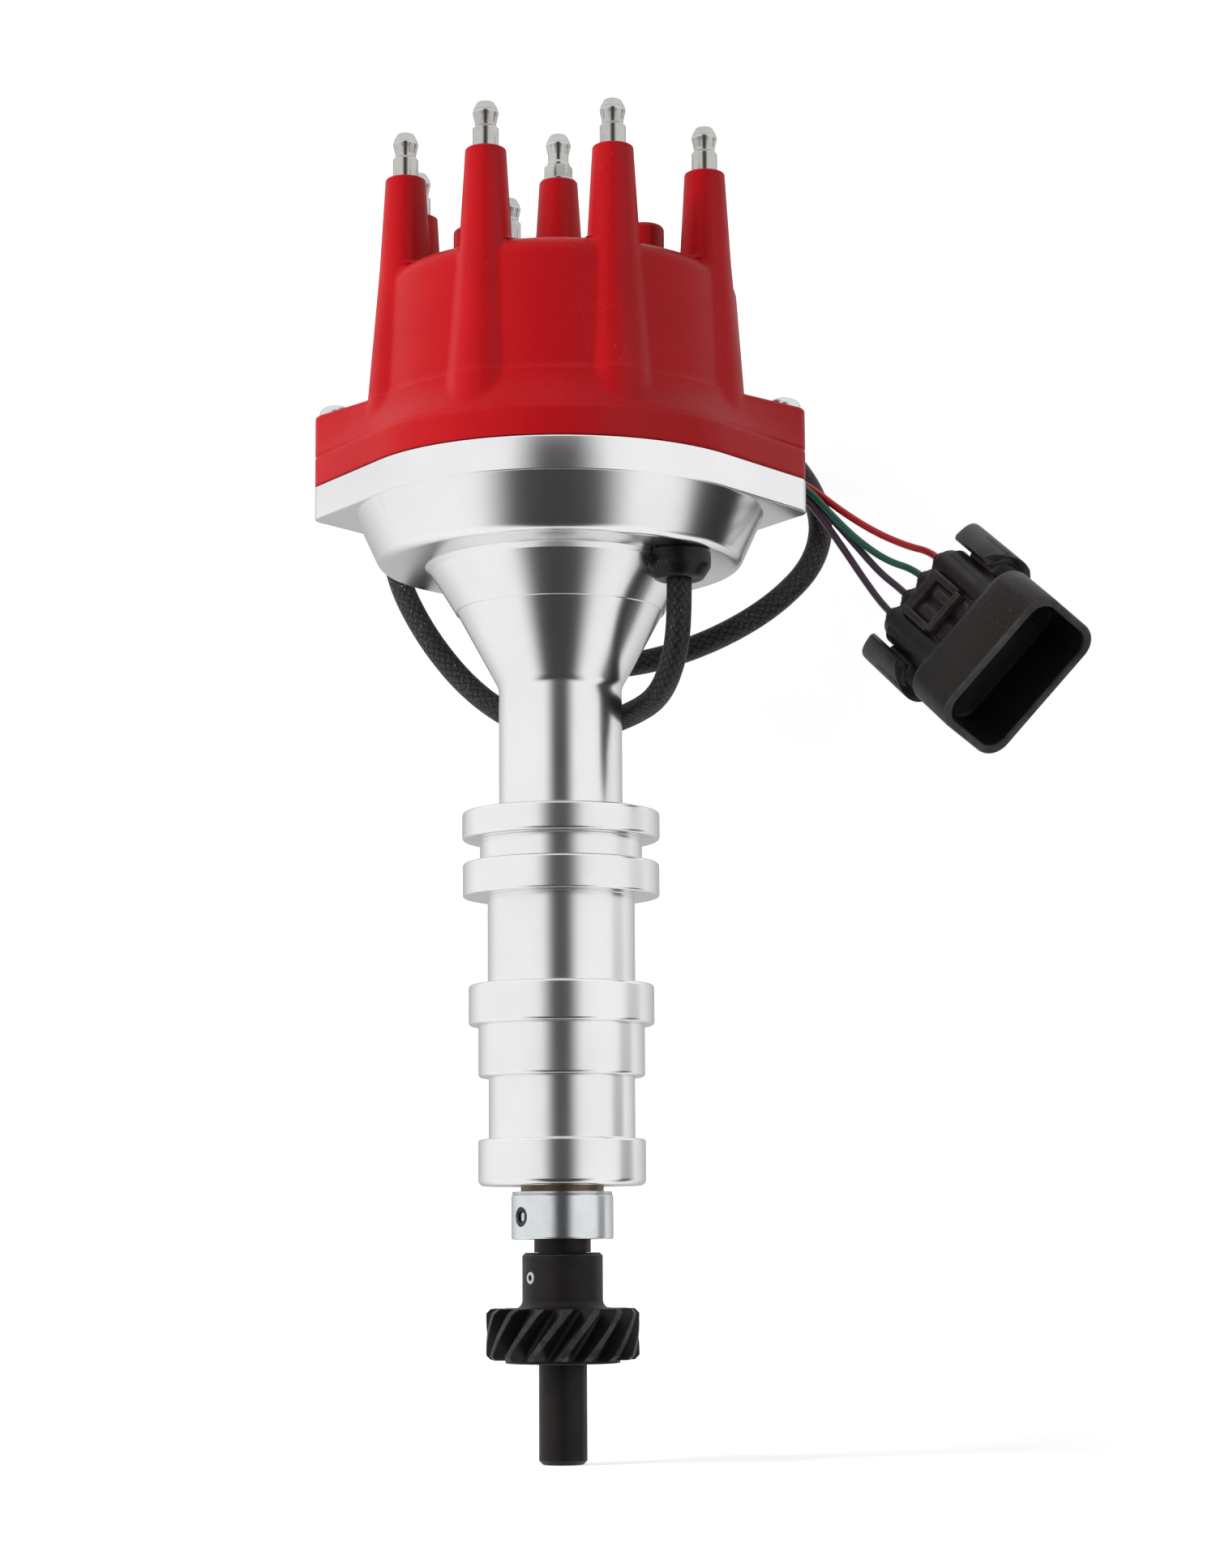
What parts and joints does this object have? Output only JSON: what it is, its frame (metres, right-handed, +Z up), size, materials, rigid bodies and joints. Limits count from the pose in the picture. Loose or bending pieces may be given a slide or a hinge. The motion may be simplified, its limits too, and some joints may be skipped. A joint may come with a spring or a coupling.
{
  "type": "ignition distributor",
  "caption": "Upright engine ignition distributor: moulded cap with terminal towers on a turned metal housing, with a geared drive shaft below, a braided harness and a sealed plug.",
  "frame": {"origin": "on the shaft's axis, in the plane of the underside of the seat ring that rests on the engine", "axes": "+Z up the shaft, towards the cap; +X through the cap ear on the right in the picture; +Y away from the camera"},
  "size_m": [0.2091, 0.1336, 0.3619],
  "materials": {
    "housing_aluminium": "turned and polished",
    "bearing_steel": "ground",
    "bronze": "sintered",
    "plated_steel": "bright zinc plate",
    "terminal_metal": "bright",
    "black_steel": "black oxide",
    "red_plastic": "satin moulding",
    "rotor_plastic": "moulded",
    "black_plastic": "satin moulding",
    "brass": "bright",
    "carbon": "pressed carbon",
    "rubber": "smooth",
    "braid": "braided",
    "wire_red": "insulation",
    "wire_green": "insulation",
    "wire_violet": "insulation",
    "wire_violet_tracer": "insulation with a pale tracer"
  },
  "bodies": {
    "distributor": {"housing": "housing_aluminium", "lower_bushing": "bronze", "upper_bearing_outer_race": "bearing_steel", "bearing_circlip": "black_steel", "sensor_plate": "housing_aluminium", "sensor_plate_screws": "plated_steel", "crank_sensor": "black_plastic", "cam_sensor": "black_plastic", "distributor_cap": "red_plastic", "cap_electrodes": "brass", "tower_terminals": "terminal_metal", "coil_terminal": "terminal_metal", "carbon_button": "carbon", "cap_screws": "plated_steel", "harness_grommet": "rubber", "harness_sleeve": "braid", "harness_boot": "rubber", "wire_red": "wire_red", "wire_green": "wire_green", "wire_violet": "wire_violet", "wire_violet_tracer": "wire_violet_tracer", "connector_shell": "black_plastic", "connector_seals": "rubber", "connector_pins": "terminal_metal", "bearing_balls": "bearing_steel", "ball_cage": "brass"},
    "shaft": {"main_shaft": "black_steel", "upper_bearing_inner_race": "bearing_steel", "crank_shutter": "plated_steel", "cam_shutter": "plated_steel", "rotor": "rotor_plastic", "rotor_blade": "brass", "rotor_spring_contact": "brass", "rotor_screws": "plated_steel", "thrust_washer": "plated_steel", "shaft_collar": "plated_steel", "collar_set_screw": "black_steel", "drive_gear": "black_steel", "gear_roll_pin": "black_steel"}
  },
  "joints": [
    {"name": "shaft_spin", "type": "hinge", "parent": "distributor", "child": "shaft", "pos_m": [0, 0, 0], "axis": [0, 0, 1], "continuous": true}
  ]
}
